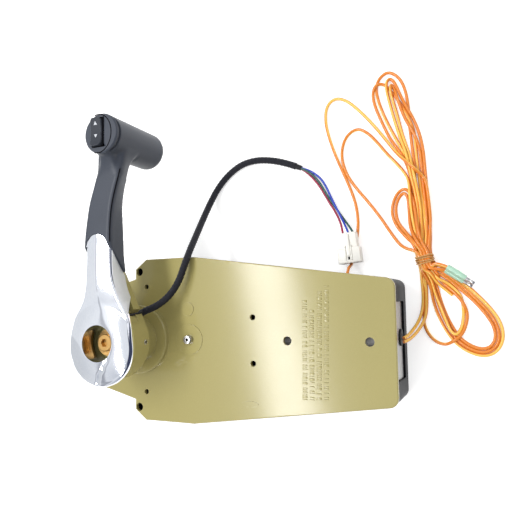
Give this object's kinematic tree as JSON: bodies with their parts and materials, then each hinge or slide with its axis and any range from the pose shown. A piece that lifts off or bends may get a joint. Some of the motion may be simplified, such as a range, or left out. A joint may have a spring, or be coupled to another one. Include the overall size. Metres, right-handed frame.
{
  "type": "boat throttle control lever",
  "caption": "Side-mount engine control: chrome lever with trim-switch T-handle on an olive plate and gear module, with trim harness and tied switch leads.",
  "frame": {"origin": "on the lever's turning axis, at the back cover's back face", "axes": "+Z is the plate's outward normal, +X runs along the plate away from the hub, +Y points up along the lever at neutral"},
  "size_m": [0.3307, 0.2758, 0.115],
  "materials": {
    "olive_paint": "satin",
    "grey_casting": "satin",
    "black_plastic": "moulded",
    "handle_plastic": "moulded",
    "rocker_plastic": "moulded",
    "chrome_plate": "polished",
    "steel": "machined",
    "yellow_zinc": "plated",
    "bronze": "machined",
    "gear_steel": "machined",
    "rubber_black": "matt",
    "braid_black": "braided",
    "wire_blue": "satin",
    "wire_red": "satin",
    "wire_green": "satin",
    "wire_orange": "satin",
    "connector_ivory": "moulded",
    "tie_tan": "moulded",
    "sleeve_green": "translucent"
  },
  "bodies": {
    "module": {"back_cover": "black_plastic", "bolt_sleeves": "steel", "boss_screws": "steel", "bracket_screws": "steel", "bullet_pins": "steel", "bullet_sleeves": "sleeve_green", "cable_bracket": "steel", "cable_trunnions": "steel", "case_screws": "steel", "detent_posts": "steel", "detent_spring": "steel", "end_grommet": "rubber_black", "hank_lower": "wire_orange", "hank_tie": "tie_tan", "hank_upper": "wire_orange", "hub_boss": "olive_paint", "lead_a": "wire_orange", "lead_b": "wire_orange", "lead_c": "wire_orange", "lead_c_loop": "wire_orange", "lower_bushing": "bronze", "module_frame": "grey_casting", "mounting_plate": "olive_paint", "neutral_switch": "black_plastic", "shift_pin_clip": "steel", "shift_pivot_pin": "steel", "side_grommet": "rubber_black", "switch_screws": "steel", "trim_connector": "connector_ivory", "trim_sleeve": "braid_black", "trim_wire_blue": "wire_blue", "trim_wire_green": "wire_green", "trim_wire_red": "wire_red", "upper_bushing": "bronze"},
    "lever": {"chrome_lever": "chrome_plate", "control_shaft": "gear_steel", "detent_disc": "gear_steel", "drive_gear": "gear_steel", "drum_set_screw": "steel", "handle_back_cover": "handle_plastic", "handle_screws": "steel", "handle_shell": "handle_plastic", "harness_lead": "rubber_black", "hub_bolt": "yellow_zinc", "hub_drum": "olive_paint", "hub_washer": "yellow_zinc", "rocker_pin": "steel", "shaft_clip": "steel", "shaft_spacers": "steel", "switch_contact_block": "black_plastic", "switch_housing": "handle_plastic", "throttle_arm": "gear_steel", "throttle_cable_pin": "steel"},
    "rocker": {"trim_rocker": "rocker_plastic"},
    "shift": {"shift_arm": "gear_steel", "shift_cable_pin": "steel", "shift_gear": "gear_steel", "shift_gear_bush": "bronze"},
    "plunger": {"switch_plunger": "black_plastic"}
  },
  "joints": [
    {"name": "lever_swing", "type": "hinge", "parent": "module", "child": "lever", "pos_m": [0, 0, 0.06], "axis": [0, 0, 1], "range_deg": [-75, 75]},
    {"name": "shift_turn", "type": "hinge", "parent": "module", "child": "shift", "pos_m": [0.048, 0, 0.03], "axis": [0, 0, 1], "range_deg": [-46, 46]},
    {"name": "trim_rocker_tilt", "type": "hinge", "parent": "lever", "child": "rocker", "pos_m": [0.0123, 0.1562, 0.1095], "axis": [1, 0, 0], "range_deg": [-8, 8], "stiffness_Nm_per_rad": 0.02},
    {"name": "neutral_plunger_slide", "type": "slide", "parent": "module", "child": "plunger", "axis": [0, -1, 0], "range_m": [0, 0.0015], "stiffness_N_per_m": 100}
  ],
  "couplings": [
    {"joint": "shift_turn", "follows": "lever_swing", "ratio": -0.6}
  ]
}
